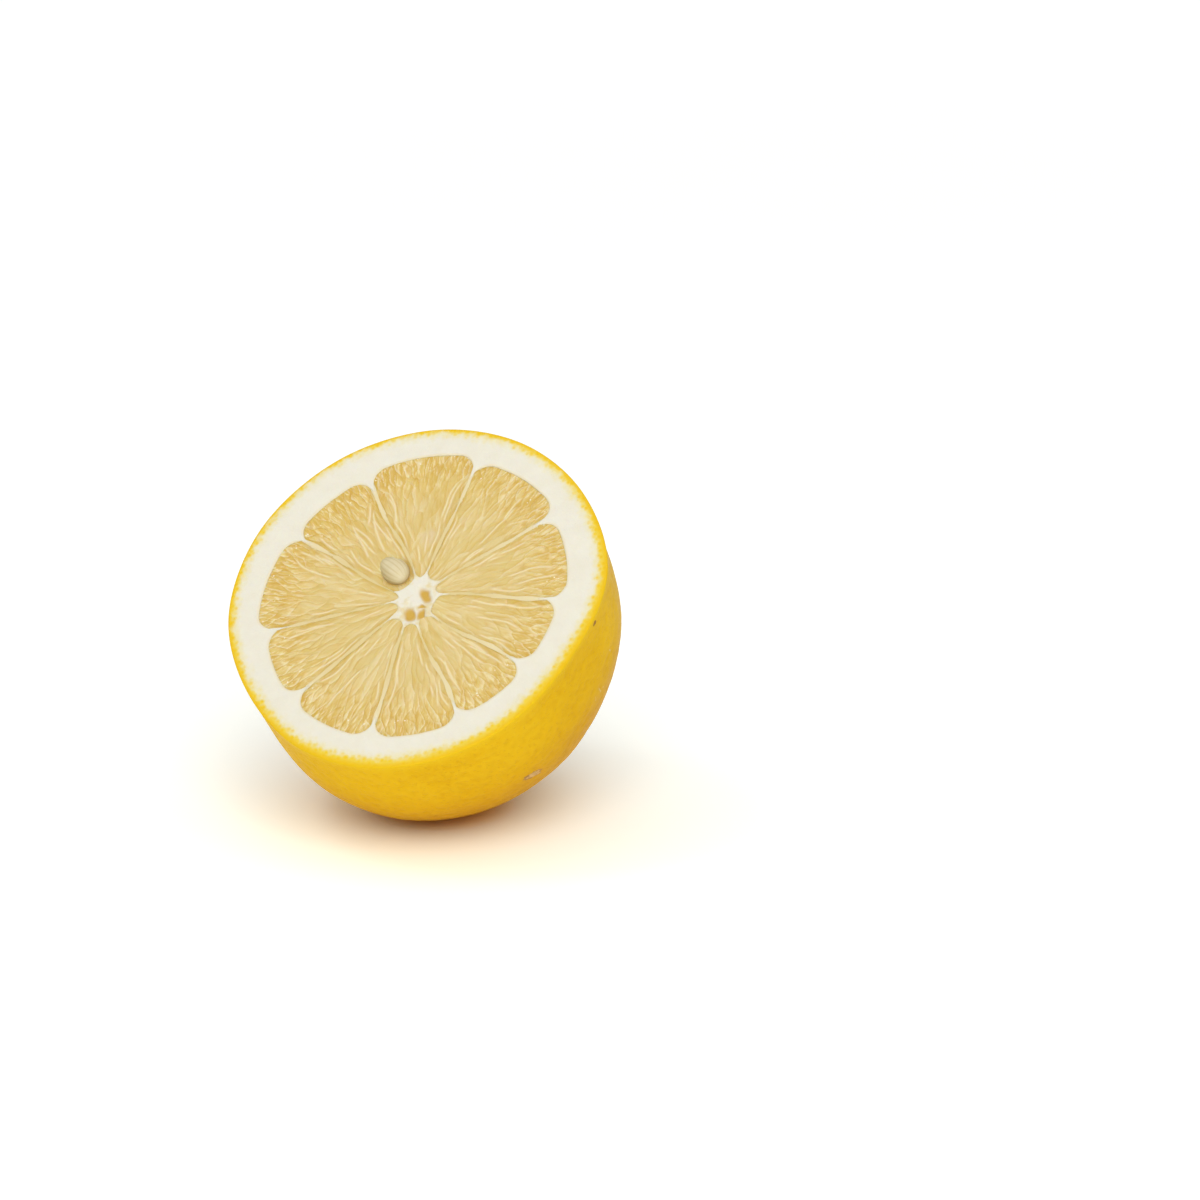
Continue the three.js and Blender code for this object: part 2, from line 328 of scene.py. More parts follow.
def pulp_start(tip, share):
    """Where the pulp begins, at a share of the segment's width: a rounded tip."""
    return tip + TIP_ROUND * (1 - np.sqrt(np.maximum(0, 1 - (2 * share - 1) ** 2)))


def face_xy(angle, radius):
    return CORE[0] + radius * np.cos(angle), CORE[1] + radius * np.sin(angle)


def nest_depth(x, y):
    """How far the surface dips round the seed, more on the side of the core, and under the seed itself."""
    turn, side = math.radians(SEED_TURN), math.radians(NEST_SIDE)
    dx, dy = x - SEED_PLACE[0], y - SEED_PLACE[1]
    along = (dx * math.cos(turn) + dy * math.sin(turn)) / (SEED_LENGTH / 2)
    across = -dx * math.sin(turn) + dy * math.cos(turn)
    share = np.clip(along, -1, 1)
    taper = 1 - SEED_TAPER[0] * share - SEED_TAPER[1] * share**2
    outside = np.maximum(0, np.hypot(along, across / (SEED_WIDTH / 2 * taper)) - 1) * SEED_WIDTH / 2
    facing = (dx * math.cos(side) + dy * math.sin(side)) / np.maximum(np.hypot(dx, dy), 0.1)
    return mix(*NEST_DEPTH, smoothstep(facing, -0.5, 0.9)) * np.exp(-((outside / NEST_WIDTH) ** 2))


def hollow_depth(x, y):
    """Depth of the torn hollows in the core, and how far inside one each point is, from 0 to 1."""
    flat = np.stack([x, y, np.zeros_like(x)], -1)
    size, reach = HOLLOW_RAGGED
    x, y = x + reach * noise(flat, size, seed=61), y + reach * noise(flat, size, seed=62)
    depth, share = np.zeros_like(x), np.zeros_like(x)
    for cx, cy, half_length, half_width, turn, deep in HOLLOWS:
        a = math.radians(turn)
        along = ((x - cx) * math.cos(a) + (y - cy) * math.sin(a)) / half_length
        across = (-(x - cx) * math.sin(a) + (y - cy) * math.cos(a)) / half_width
        across = across * (1.2 - 0.3 * along)  # wider at the end away from the middle
        inside = smoothstep(1.15 - np.hypot(along, across), 0, 0.9)
        depth = np.maximum(depth, deep * inside)
        share = np.maximum(share, inside * smoothstep(along, -1.5, -0.1))
    return depth, share


# --- Meshes -------------------------------------------------------------------


def grid_faces(rows, columns, wrap):
    """Quads of a grid numbered row by row. Seen from their front, columns run right and rows down."""
    last = columns if wrap else columns - 1
    r, c = np.meshgrid(np.arange(rows - 1), np.arange(last), indexing="ij")
    n = (c + 1) % columns
    here, below = r * columns, (r + 1) * columns
    return np.stack([here + c, below + c, below + n, here + n], -1).reshape(-1, 4)


def closed_faces(rows, columns):
    """Faces of a band of rows, closed by fans to two points that come after the grid's own."""
    faces = grid_faces(rows, columns, wrap=True).tolist()
    first, last = rows * columns, rows * columns + 1
    for c in range(columns):
        n = (c + 1) % columns
        faces.append([first, c, n])
        faces.append([last, (rows - 1) * columns + n, (rows - 1) * columns + c])
    return faces


def make_piece(name, points, faces, material, **values):
    """A smooth-shaded mesh object at the origin, with a number at every point for each of `values`."""
    mesh = bpy.data.meshes.new(name)
    mesh.from_pydata(points.tolist(), [], faces)
    mesh.shade_smooth()
    mesh.set_sharp_from_angle(angle=math.radians(SHARP_FROM))
    for key, numbers in values.items():
        layer = mesh.attributes.new(key, "FLOAT", "POINT")
        layer.data.foreach_set("value", np.asarray(numbers, np.float32).ravel())
    mesh.materials.append(material)
    piece = bpy.data.objects.new(name, mesh)
    bpy.context.collection.objects.link(piece)
    return piece


class Rind:
    """The columns of points that make the rind's surface, from the core's middle over the rim to the tip."""

    def __init__(self):
        count = len(SEGMENTS)
        self.segment = np.repeat(np.arange(count), COLUMNS)
        self.place = np.tile(np.arange(COLUMNS), count)

    def angle(self, radius):
        """Angle of each column at its radius: on a membrane's middle, edge or foot, or between two."""
        radius = np.broadcast_to(radius, self.segment.shape)
        result = np.empty(radius.shape)
        for s in range(len(SEGMENTS)):
            mine = self.segment == s
            r, p = radius[mine], self.place[mine]
            width = segment_width(s, r)
            near, far = half_membrane(s, r), half_membrane(s + 1, r)
            share = (p - 2) / (COLUMNS - 4)
            across = mix(near + 0.02, width - far - 0.02, share)
            across = np.where(p == 0, 0, np.where(p == 1, near, across))
            across = np.where(p == COLUMNS - 1, width - far, across)
            result[mine] = wall_angle(s, r) + across / np.maximum(r, 1e-6)
        return result

    def limits(self):
        """Radii where each column's pocket starts and ends. On a membrane they bound its thin stretch."""
        start, end = np.empty(len(self.segment)), np.empty(len(self.segment))
        for i, (s, p) in enumerate(zip(self.segment, self.place)):
            _, reach, _, tip = SEGMENTS[s]
            share = np.clip((p - 2) / (COLUMNS - 4), 0, 1)
            width = segment_width(s, reach)
            across = mix(half_membrane(s, reach), width - half_membrane(s + 1, reach), share)
            from_wall = min(across, width - across)
            if p == 0:
                _, other_reach, _, other_tip = SEGMENTS[s - 1]
                tip, reach, from_wall = max(tip, other_tip), min(reach, other_reach), 0
            start[i], end[i] = pulp_start(tip, share), pulp_reach(reach, from_wall)
        return start, end


def rind_surface():
    """Rows of points of the cut face and of the smooth skin, with the face's share of membrane or pocket,
    each skin row's place from cut to tip, and each column's angle at the rim."""
    grid = Rind()
    start, end = grid.limits()
    on_wall = (grid.place <= 1) | (grid.place == COLUMNS - 1)
    wall_top = -MEMBRANE_DROP
    rows = []

    def face_row(radius, height, wall):
        x, y = face_xy(grid.angle(radius), radius)
        rows.append((np.stack([x, y, np.broadcast_to(height, x.shape)], -1), np.broadcast_to(wall, x.shape)))

    def lip_rows(edge, way):
        """Rows over the pocket's edge: down into it when way is 1, and up out of it when it is -1."""
        for inwards, height in LIP[::way]:
            level = np.where(on_wall, wall_top * smoothstep(inwards, LIP[0][0], LIP[-1][0]), height)
            face_row(edge + way * inwards, level, 0.5)

    for row in range(CORE_ROWS):
        share = ((row + 0.5) / CORE_ROWS) ** CORE_CROWDING
        face_row((start + LIP[0][0]) * share, 0, 0.0)
    lip_rows(start, 1)
    for row in range(FLOOR_ROWS):
        share = (row + 1) / (FLOOR_ROWS + 1)
        radius = mix(start + LIP[-1][0], end - LIP[-1][0], share)
        face_row(radius, np.where(on_wall, wall_top, -POCKET_DEPTH), 1.0)
    lip_rows(end, -1)

    edge, _ = rows[-1]
    outside = np.stack(face_xy(grid.angle(RADIUS), RADIUS), -1)
    rim_angle = np.arctan2(outside[:, 1], outside[:, 0])
    rim = skin_points(rim_angle, 0.0)
    reach = np.hypot(rim[:, 0], rim[:, 1])[:, None]
    inner = rim * (reach - RIM[0][0]) / reach
    for row in range(1, PITH_ROWS + 1):
        rows.append((mix(edge, inner, row / (PITH_ROWS + 1)), 0.0))
    for inwards, height in RIM:
        rows.append((rim * (reach - inwards) / reach + np.array([0, 0, height]), 0.0))
    face = np.stack([points for points, _ in rows])
    wall = np.stack([np.broadcast_to(value, len(grid.segment)) for _, value in rows])

    along = 1 - (1 - np.arange(1, SKIN_ROWS + 1) / (SKIN_ROWS + 1)) ** TIP_CROWDING
    skin = skin_points(rim_angle[None, :], along[:, None])
    skin[..., 2] = np.minimum(skin[..., 2], RIM[-1][1] - 0.1)
    return face, wall, skin, along, rim_angle


def surface_normals(surface):
    """Outward unit normals of a closed band of rows and columns."""
    down = np.gradient(surface, axis=0)
    right = np.roll(surface, -1, axis=1) - np.roll(surface, 1, axis=1)
    normal = np.cross(down, right)
    return normal / np.maximum(np.linalg.norm(normal, axis=-1, keepdims=True), 1e-9)


def dimpled(skin):
    """The skin with its broad unevenness and the small pits of its oil glands."""
    rng = np.random.default_rng(11)
    normal = surface_normals(skin)
    flat = skin.reshape(-1, 3)
    rise = waves(flat, SKIN_WAVES, seed=5)
    tree = kdtree.KDTree(len(flat))
    for i, point in enumerate(flat.tolist()):
        tree.insert(point, i)
    tree.balance()
    pits = np.zeros(len(flat))
    along = np.interp(rng.random(PIT_COUNT), *skin_area_share())
    places = skin_points(rng.random(PIT_COUNT) * 2 * math.pi, along)
    radii, depths = rng.uniform(*PIT_RADIUS, PIT_COUNT), rng.uniform(*PIT_DEPTH, PIT_COUNT)
    for point, radius, depth in zip(places.tolist(), radii, depths):
        for _, index, distance in tree.find_range(point, radius):
            pits[index] = max(pits[index], depth * (1 - (distance / radius) ** 2) ** 2)
    moved = (rise - pits).reshape(skin.shape[:2])
    edge = smoothstep(np.arange(len(skin)), 0, 6)[:, None]
    return skin + normal * (moved * edge)[..., None], (pits / PIT_DEPTH[1]).reshape(skin.shape[:2])


def skin_area_share():
    """Shares of the skin's area from the cut, and the shares of the profile's length they lie at."""
    area = np.concatenate([[0], np.cumsum(PROFILE_RADIUS[1:] * np.diff(PROFILE_SHARE))])
    return area / area[-1], PROFILE_SHARE


def mark_share(points, marks):
    """How deep inside a mark each point lies, 1 in its middle and 0 at its edge, and how dark the mark is."""
    share, dark = np.full(points.shape[:-1], -1.0), np.zeros(points.shape[:-1])
    for angle, depth, half_length, half_width, turn, darkness in marks:
        along = np.interp(depth, PROFILE_DEPTH, PROFILE_SHARE)
        a = math.radians(angle)
        centre = skin_points(a, along)
        round_way = np.array([-math.sin(a), math.cos(a), 0])
        down_way = skin_points(a, along + 0.01) - centre
        down_way /= np.linalg.norm(down_way)
        offset = points - centre
        u, v = offset @ round_way, offset @ down_way
        t = math.radians(turn)
        long = (u * math.cos(t) + v * math.sin(t)) / half_length
        short = (-u * math.sin(t) + v * math.cos(t)) / half_width
        inside = 1 - np.sqrt(long**2 + short**2 + (offset @ np.cross(round_way, down_way)) ** 2)
        dark = np.where(inside > share, darkness, dark)
        share = np.maximum(share, inside)
    return share, dark


def make_rind(material):
    face, wall, skin, along, rim_angle = rind_surface()
    x, y = face[..., 0], face[..., 1]
    grain = waves(face * [1, 1, 0], PITH_WAVES, seed=21)
    top = face[..., 2] > -0.5
    inwards = np.hypot(*(face[-1, :, :2]).T)[None, :] - np.hypot(x, y)
    calm = smoothstep(inwards, 0.3, 1.5)
    deep, hollow = hollow_depth(x, y)
    in_core = np.arange(len(face))[:, None] < CORE_ROWS + len(LIP)
    height = face[..., 2] + np.where(top, grain * calm, 0) - np.where(in_core, deep, 0)
    nest = np.where(top, nest_depth(x, y), 0)
    face[..., 2] = height - nest
    skin, pits = dimpled(skin)

    surface = np.concatenate([face, skin])
    middle = np.array([[*CORE, -hollow_depth(np.array([CORE[0]]), np.array([CORE[1]]))[0][0]]])
    tip = skin_points(0.0, 1.0)[None, :]
    points = np.concatenate([surface.reshape(-1, 3), middle, tip])
    faces = closed_faces(*surface.shape[:2])

    def on_face(values):
        return np.concatenate([values, np.zeros(skin.shape[:2])])

    def ended(values, at_core=0.0, at_tip=0.0):
        return np.concatenate([np.broadcast_to(values, surface.shape[:2]).ravel(), [at_core, at_tip]])

    below_rim = np.broadcast_to(along[:, None] * PROFILE_LENGTH, skin.shape[:2])
    core = np.broadcast_to(np.where(in_core, 1.0, 0.0), x.shape)
    faded = smoothstep(np.cos(rim_angle - math.radians(FADED_WAY)), 0.3, 0.9)
    scar, dark = mark_share(surface, SCARS)
    return make_piece(
        "rind", place(points), faces, material,
        from_rim=ended(np.concatenate([inwards, -below_rim]), RADIUS, -PROFILE_LENGTH),
        wall=ended(on_face(wall)),
        core=ended(on_face(core), 1.0),
        # This mask also takes in the dip round the seed; rind_material paints it amber as painted shade for
        # its depth
        hollow=ended(on_face(np.maximum(hollow * in_core, smoothstep(nest, 0.2, 0.8))), 0.3),
        pit=ended(np.concatenate([np.zeros(x.shape), pits])),
        scar=ended(scar, -1, -1),
        dark=ended(dark),
        scratch=ended(mark_share(surface, SCRATCHES)[0], -1, -1),
        side=ended(np.sin(rim_angle - ZEST_TURN)), low_left=ended(faded),
    )


class Sacs:
    """The juice sacs of one segment: long drops side by side that point at the core."""

    def __init__(self, segment):
        _, reach, _, tip = SEGMENTS[segment]
        rng = np.random.default_rng(100 + segment)
        radius = np.sqrt(rng.uniform(tip**2, (reach + 1) ** 2, SAC_TRIES))
        share = rng.random(SAC_TRIES)
        angle = mix(wall_angle(segment, radius), wall_angle(segment + 1, radius), share)
        x, y = face_xy(angle, radius)
        outwards = smoothstep(radius, 4, reach - 2)
        half_width = mix(*SAC_WIDTH, outwards) / 2 * rng.uniform(0.7, 1.25, SAC_TRIES)
        half_length = mix(*SAC_LENGTH, outwards) / 2 * rng.uniform(0.6, 1.3, SAC_TRIES)
        way = angle + np.radians(rng.normal(0, SAC_SPREAD, SAC_TRIES))
        way += 0.25 * (share - 0.5) * outwards  # they fan out towards the rim
        kept = []
        for i in range(SAC_TRIES):
            k = np.array(kept, int)
            dx, dy = x[k] - x[i], y[k] - y[i]
            along = dx * np.cos(way[i]) + dy * np.sin(way[i])
            across = -dx * np.sin(way[i]) + dy * np.cos(way[i])
            along /= half_length[k] + half_length[i]
            across /= half_width[k] + half_width[i]
            gap = np.hypot(along, across)
            if not len(k) or gap.min() > SAC_GAP:
                kept.append(i)
        self.x, self.y, self.way = x[kept], y[kept], way[kept]
        self.half_width, self.half_length = half_width[kept], half_length[kept]
        self.tone = rng.uniform(-1, 1, len(kept))
        self.level = rng.uniform(-1, 1, len(kept))

    def at(self, x, y):
        """For each point: mm to its sac's edge, the sac's tone and level, and on which flank the point is."""
        dx, dy = x[:, None] - self.x, y[:, None] - self.y
        along = (dx * np.cos(self.way) + dy * np.sin(self.way)) / self.half_length
        across = (-dx * np.sin(self.way) + dy * np.cos(self.way)) / self.half_width
        across /= 1 + 0.3 * np.clip(along, -1.3, 1.3)
        gap = np.hypot(along, across)
        nearest = gap.argmin(1)
        line = np.arange(len(x))
        first = gap[line, nearest]
        gap[line, nearest] = np.inf
        second = gap.min(1)
        edge = (second - first) * self.half_width[nearest] / 2
        return edge, self.tone[nearest], self.level[nearest], across[line, nearest]


def streak_share(segment, radius, share):
    """How near each point is to one of its segment's long fibres: on one, and beside one, from 0 to 1."""
    _, reach, _, tip = SEGMENTS[segment]
    rng = np.random.default_rng(300 + segment)
    on, beside = np.zeros_like(share), np.zeros_like(share)
    for i in range(STREAKS):
        length = rng.uniform(*STREAK_LENGTH)
        start = rng.uniform(tip + 2, max(tip + 3, reach - 1 - length))
        near_wall = rng.uniform(0.07, 0.16)
        place = (near_wall, 1 - near_wall, rng.uniform(0.2, 0.8))[i % 3]
        lean, curl = rng.uniform(-0.012, 0.012), rng.uniform(-0.005, 0.005)
        run = radius - start - length / 2
        aside = np.abs(share - place - lean * run - curl * run**2) * segment_width(segment, radius)
        ends = smoothstep(length / 2 - np.abs(run), 0, 1.2)
        on = np.maximum(on, ends * np.exp(-((aside / STREAK_WIDTH) ** 2)))
        beside = np.maximum(beside, ends * np.exp(-((aside / (2.6 * STREAK_WIDTH)) ** 2)))
    return on, beside


def fibre_share(points):
    """The same for FIBRES, at points on the face."""
    on, beside = np.zeros(len(points)), np.zeros(len(points))
    for x0, y0, x1, y1, bow in FIBRES:
        length = math.hypot(x1 - x0, y1 - y0)
        way = np.array([x1 - x0, y1 - y0]) / length
        off = points[:, :2] - (x0, y0)
        along = off @ way
        aside = np.abs(off @ (-way[1], way[0]) - bow * np.sin(math.pi * np.clip(along / length, 0, 1)))
        ends = smoothstep(along, 0, 1) * smoothstep(length - along, 0, 1)
        on = np.maximum(on, ends * np.exp(-((aside / (1.15 * STREAK_WIDTH)) ** 2)))
        beside = np.maximum(beside, ends * np.exp(-((aside / (3 * STREAK_WIDTH)) ** 2)))
    return on, beside


def make_pulp(segment, material):
    """One segment's pulp: its uneven top, with plain sides and bottom that its pocket hides."""
    _, reach, _, tip = SEGMENTS[segment]
    share = np.linspace(0, 1, PULP_COLUMNS)[None, :]
    run = np.linspace(0, 1, PULP_ROWS)[:, None]
    width = segment_width(segment, reach)
    across = mix(half_membrane(segment, reach), width - half_membrane(segment + 1, reach), share)
    inner = pulp_start(tip, share) - PULP_SINK
    outer = pulp_reach(reach, np.minimum(across, width - across)) + PULP_SINK
    radius = mix(inner, outer, run)
    near = half_membrane(segment, radius) - PULP_SINK
    far = half_membrane(segment + 1, radius) - PULP_SINK
    angle = wall_angle(segment, radius) + mix(near, segment_width(segment, radius) - far, share) / radius
    x, y = face_xy(angle, radius)
    flat = np.stack([x.ravel(), y.ravel(), np.zeros(x.size)], -1)

    warp = [waves(flat, SAC_WARP, seed=31 + i, seed_step=10) for i in range(2)]
    edge, tone, level, flank = Sacs(segment).at(flat[:, 0] + warp[0], flat[:, 1] + warp[1])
    wavering = share + 0.015 * warp[0].reshape(radius.shape)
    streak, beside = streak_share(segment, radius, wavering)
    fibre, beside_fibre = fibre_share(flat)
    streak, beside = np.maximum(streak.ravel(), fibre), np.maximum(beside.ravel(), beside_fibre)
    from_buried = np.hypot(flat[:, 0] - BURIED[0], flat[:, 1] - BURIED[1]) + 0.8 * warp[1]
    buried = smoothstep(from_buried, BURIED[2], BURIED[2] / 2)
    outwards = smoothstep(radius, 5, reach - 3).ravel()
    pillow = np.sqrt(1 - np.exp(-edge / SAC_EDGE))
    relief = mix(CORE_RELIEF, 1, outwards) * (1 - BURIED_CALM * buried)
    height = PULP_LEVEL + (pillow - SAC_LEVEL) * SAC_RELIEF * relief
    height += SAC_STEP * relief * level * smoothstep(edge, 0, 0.2)
    height += STREAK_HEIGHT * (streak - STREAK_GROOVE * beside) + BURIED_RISE * buried
    height += waves(flat, PULP_WAVES, seed=51)
    to_wall = np.minimum(share, 1 - share) * segment_width(segment, radius)
    height += WALL_CLIMB[0] * np.exp(-to_wall.ravel() / WALL_CLIMB[1])
    nest = nest_depth(flat[:, 0], flat[:, 1])
    height = np.minimum(height, PULP_TOP) - nest

    top = np.column_stack([flat[:, :2], height])
    index = np.arange(x.size).reshape(x.shape)
    ring = np.concatenate([index[0], index[1:, -1], index[-1, -2::-1], index[-2:0:-1, 0]])
    below = top[ring] * [1, 1, 0] + [0, 0, PULP_BOTTOM]
    middle = below.mean(0, keepdims=True)
    points = np.concatenate([top, below, middle])
    faces = grid_faces(PULP_ROWS, PULP_COLUMNS, wrap=False).tolist()
    first, last, count = len(top), len(points) - 1, len(ring)
    for i in range(count):
        n = (i + 1) % count
        faces.append([ring[i], ring[n], first + n, first + i])
        faces.append([first + i, first + n, last])

    tops = {
        "edge": edge, "tone": tone, "flank": flank, "streak": streak, "beside": beside, "buried": buried,
        # painted shade in the dip round the seed
        "seed_dip_shade": smoothstep(nest, 0.15, 0.8),
        "golden": smoothstep(np.cos(angle - math.radians(GOLDEN_WAY)), 0.4, 0.95),
        "outwards": radius - reach, "radius": radius,
        "across": (share - 0.5) * segment_width(segment, radius), "to_wall": to_wall,
    }
    values = {name: np.concatenate([np.ravel(top), np.zeros(count + 1)]) for name, top in tops.items()}
    values["segment"] = np.full(len(points), 7.3 * segment)
    return make_piece(f"pulp_{segment + 1:02d}", place(points), faces, material, **values)


def make_seed(material):
    """The CAD's seed with finer faces and low ridges along it."""
    half, wide = SEED_LENGTH / 2, SEED_WIDTH / 2
    step = np.linspace(0, math.pi, SEED_STEPS + 2)[1:-1, None]
    turn = (2 * math.pi * np.arange(SEED_SIDES) / SEED_SIDES)[None, :]
    share = -np.cos(step)
    taper = 1 - SEED_TAPER[0] * share - SEED_TAPER[1] * share**2
    ring = wide * np.sin(step) * taper
    ridges = np.sin(SEED_RIDGES * turn + 1.2 * np.sin(2 * turn) + 1.5 * share)
    waver = 0.6 + 0.4 * np.sin(3 * turn + 4 * share)
    rise = SEED_RIDGE_HEIGHT * ridges * waver * np.sin(step) ** 0.7
    y, z = (ring + rise) * np.cos(turn), (ring + rise) * np.sin(turn) * SEED_THICKNESS / SEED_WIDTH
    x = np.broadcast_to(half * share, y.shape)
    surface = np.stack([x, y, z], -1).reshape(-1, 3)
    points = np.concatenate([surface, [[-half, 0, 0], [half, 0, 0]]])
    faces = closed_faces(SEED_STEPS, SEED_SIDES)
    pose = (
        Matrix.Translation(SEED_PLACE)
        @ Matrix.Rotation(math.radians(SEED_TURN), 4, "Z")
        @ Matrix.Rotation(math.radians(SEED_DIP), 4, "Y")
    )
    turned = points @ np.array(pose.to_3x3()).T + np.array(SEED_PLACE)

    def ended(values, low, high):
        return np.concatenate([np.broadcast_to(values, x.shape).ravel(), [low, high]])

    return make_piece(
        "seed_detail", place(turned), faces, material,
        along=ended(share, -1, 1), below=ended(np.cos(turn) * np.sin(step), 0, 0),
        ridge=ended(ridges * np.sin(step), 0, 0), height=turned[:, 2] - SEED_PLACE[2],
    )


# --- Materials ----------------------------------------------------------------


class Nodes:
    """Builds one material. Values are numbers, colours or the output sockets of other nodes."""

    def __init__(self, name):
        self.material = bpy.data.materials.new(name)
        self.material.use_nodes = True
        self.tree = self.material.node_tree
        self.tree.nodes.clear()
        metres = self.add("ShaderNodeTexCoord").outputs["Object"]
        scaling = {0: metres, "Scale": 1 / MM}
        self.mm = self.add("ShaderNodeVectorMath", scaling, operation="SCALE").outputs[0]

    def add(self, kind, values=None, **settings):
        """Adds a node, sets its properties, and links or sets the inputs in `values`."""
        node = self.tree.nodes.new(kind)
        for key, value in settings.items():
            setattr(node, key, value)
        for key, value in (values or {}).items():
            socket = node.inputs[key]
            if isinstance(value, bpy.types.NodeSocket):
                self.tree.links.new(value, socket)
            else:
                socket.default_value = value
        return node

    def attribute(self, name):
        return self.add("ShaderNodeAttribute", attribute_name=name).outputs["Fac"]

    def attributes(self, *names):
        return [self.attribute(name) for name in names]

    def math(self, operation, a, b=0.0, c=0.0):
        return self.add("ShaderNodeMath", {0: a, 1: b, 2: c}, operation=operation).outputs[0]

    def times(self, a, b):
        return self.math("MULTIPLY", a, b)

    def plus(self, a, b):
        return self.math("ADD", a, b)

    def step(self, value, low, high, to_low=0.0, to_high=1.0):
        """A smooth change from to_low to to_high as value goes from low to high."""
        inputs = {"Value": value, "From Min": low, "From Max": high, "To Min": to_low, "To Max": to_high}
        return self.add("ShaderNodeMapRange", inputs, interpolation_type="SMOOTHSTEP").outputs[0]

    def noise(self, size, detail=2.0, roughness=0.5, vector=None, distortion=0.0):
        inputs = {"Vector": vector or self.mm, "Scale": 1 / size, "Detail": detail, "Roughness": roughness}
        inputs["Distortion"] = distortion
        return self.add("ShaderNodeTexNoise", inputs).outputs["Fac"]

    def cells(self, size):
        """Distance from the middle of the nearest of many round cells."""
        return self.add("ShaderNodeTexVoronoi", {"Vector": self.mm, "Scale": 1 / size}).outputs["Distance"]

    def mix(self, share, a, b):
        """Colour from a to b."""
        return self.add("ShaderNodeMix", {0: share, 6: a, 7: b}, data_type="RGBA").outputs[2]

    def combine(self, x, y, z):
        return self.add("ShaderNodeCombineXYZ", {0: x, 1: y, 2: z}).outputs[0]

    def bump(self, height, distance, strength, normal=None):
        inputs = {"Height": height, "Distance": distance * MM, "Strength": strength}
        if normal:
            inputs["Normal"] = normal
        return self.add("ShaderNodeBump", inputs).outputs[0]

    def finish(self, color, roughness, normal, **constants):
        inputs = {"Base Color": color, "Roughness": roughness, "Normal": normal}
        inputs.update({key.replace("_", " "): value for key, value in constants.items()})
        shader = self.add("ShaderNodeBsdfPrincipled", inputs)
        output = self.add("ShaderNodeOutputMaterial")
        self.tree.links.new(shader.outputs[0], output.inputs[0])
        return self.material


def rgb(red, green, blue):
    """A surface's colour, given by the 0-255 screen values that it shows in this studio's light."""
    shown = np.array([red, green, blue]) / 255
    linear = np.where(shown <= 0.04045, shown / 12.92, ((shown + 0.055) / 1.055) ** 2.4)
    return (*(linear / STUDIO_GAIN), 1.0)


